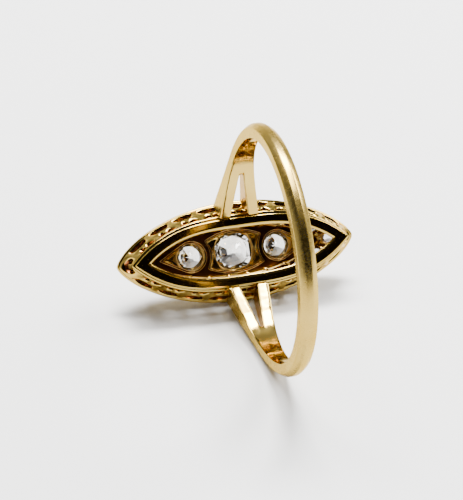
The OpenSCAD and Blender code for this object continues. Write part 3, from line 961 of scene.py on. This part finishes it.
# A sheet of pale paper: level, bent up behind the ring, and upright
def buildFloor():
    size, bendAt, bendDeep, steps = (floorLook[part] for part in ("size", "bendAt", "bendDeep", "steps"))
    mesh = bpy.data.meshes.new("paperFloor")
    pts = []
    for k in range(steps + 1):
        t = k / steps
        if t < 0.4:
            y, z = mix(-size, bendAt, t / 0.4), 0.0
        elif t < 0.8:
            angle = (t - 0.4) / 0.4 * math.pi / 2
            y, z = bendAt + bendDeep * math.sin(angle), bendDeep * (1 - math.cos(angle))
        else:
            y, z = bendAt + bendDeep, mix(bendDeep, size, (t - 0.8) / 0.2)
        pts += [(-size, y, z), (size, y, z)]
    mesh.from_pydata(pts, [], [(2 * k, 2 * k + 1, 2 * k + 3, 2 * k + 2) for k in range(steps)])
    for face in mesh.polygons:
        face.use_smooth = True
    mesh.materials.append(floorMaterial())
    floor = bpy.data.objects.new("paperFloor", mesh)
    bpy.context.scene.collection.objects.link(floor)


lightSizes = {
    "window": {"place": (0.29, 0.08, 0.25), "size": (0.17, 0.16), "power": 2.2},
    "back": {"place": (0.06, 0.155, 0.37), "size": (0.16, 0.10), "power": 4.6},
    "corner": {"place": (-0.08, 0.17, 0.35), "size": (0.12, 0.10), "power": 1.2},
    "above": {"place": (0.06, 0.03, 0.40), "size": (0.14, 0.10), "power": 1.0},
}
lightColour, lightAim = (1.0, 0.985, 0.96), (0, 0, 0.008)
# A pale room with a dim ceiling and one dark side in front of the ring
roomLook = {
    "bright": (1.0, 1.01, 1.03), "dark": (0.008, 0.005, 0.003), "ceiling": (0.09, 0.085, 0.08),
    "strength": 0.9,
    "left": (-0.92, -0.66), "right": (0.80, 1.0), "low": (-0.2, -0.05), "top": (0.76, 0.95),
    "front": (-0.1, 0.05), "ceilingFrom": (0.5, 0.68), "behind": (0.25, 0.45),
}


def buildRoom(look):
    world = bpy.data.worlds.new("studio")
    bpy.context.scene.world = world
    world.use_nodes = True
    Socket.tree = world.node_tree
    ahead = Socket.node("ShaderNodeTexCoord", {}, {})
    x, y, z = (Socket.node("ShaderNodeSeparateXYZ", {}, {"Vector": ahead}, out=k) for k in range(3))
    across = x.between(*look["left"]) * (1.0 - x.between(*look["right"]))
    upright = z.between(*look["low"]) * (1.0 - z.between(*look["top"]))
    front = 1.0 - y.between(*look["front"])
    overhead = z.between(*look["ceilingFrom"]) * (1.0 - y.between(*look["behind"]))
    walls = blendColour(overhead, look["bright"], look["ceiling"])
    background = world.node_tree.nodes["Background"]
    feed(background, "Color", blendColour(across * upright * front, walls, look["dark"]))
    background.inputs["Strength"].default_value = look["strength"]


def buildLights():
    for name, sizes in lightSizes.items():
        data = bpy.data.lights.new(name + "Softbox", "AREA")
        data.shape = "RECTANGLE"
        data.size, data.size_y = sizes["size"]
        data.energy = sizes["power"]
        data.color = lightColour
        lamp = bpy.data.objects.new(name + "Softbox", data)
        bpy.context.scene.collection.objects.link(lamp)
        lamp.location = sizes["place"]
        aim = Vector(lightAim) - Vector(sizes["place"])
        lamp.rotation_euler = aim.to_track_quat("-Z", "Y").to_euler()


buildFloor()
buildRoom(roomLook)
buildLights()
print("floor, room and lights made")

# The camera as found from the photograph: place and view in the upright ring's millimetres
cameraSizes = {
    "place": (-24.6873, -2.8481, -94.378), "ahead": (0.2239, 0.025, 0.9743),
    "up": (0.1378, -0.9904, -0.0063),
    "focalPixels": 1300.0, "imageLong": 500, "sensor": 36.0,
}


def buildCamera():
    data = bpy.data.cameras.new("photoCamera")
    data.sensor_width = cameraSizes["sensor"]
    data.lens = cameraSizes["focalPixels"] * cameraSizes["sensor"] / cameraSizes["imageLong"]
    data.clip_start, data.clip_end = 0.005, 10
    camera = bpy.data.objects.new("photoCamera", data)
    bpy.context.scene.collection.objects.link(camera)
    turn = ringPlace.to_3x3().normalized()
    ahead = (turn @ Vector(cameraSizes["ahead"])).normalized()
    up = turn @ Vector(cameraSizes["up"])
    right = ahead.cross(up).normalized()
    up = right.cross(ahead)
    camera.matrix_world = Matrix.Translation(ringPlace @ Vector(cameraSizes["place"])) @ Matrix((
        (right.x, up.x, -ahead.x), (right.y, up.y, -ahead.y), (right.z, up.z, -ahead.z))).to_4x4()
    bpy.context.scene.camera = camera
    print("camera at", [round(v, 4) for v in camera.location], "looks", [round(v, 3) for v in ahead])


buildCamera()
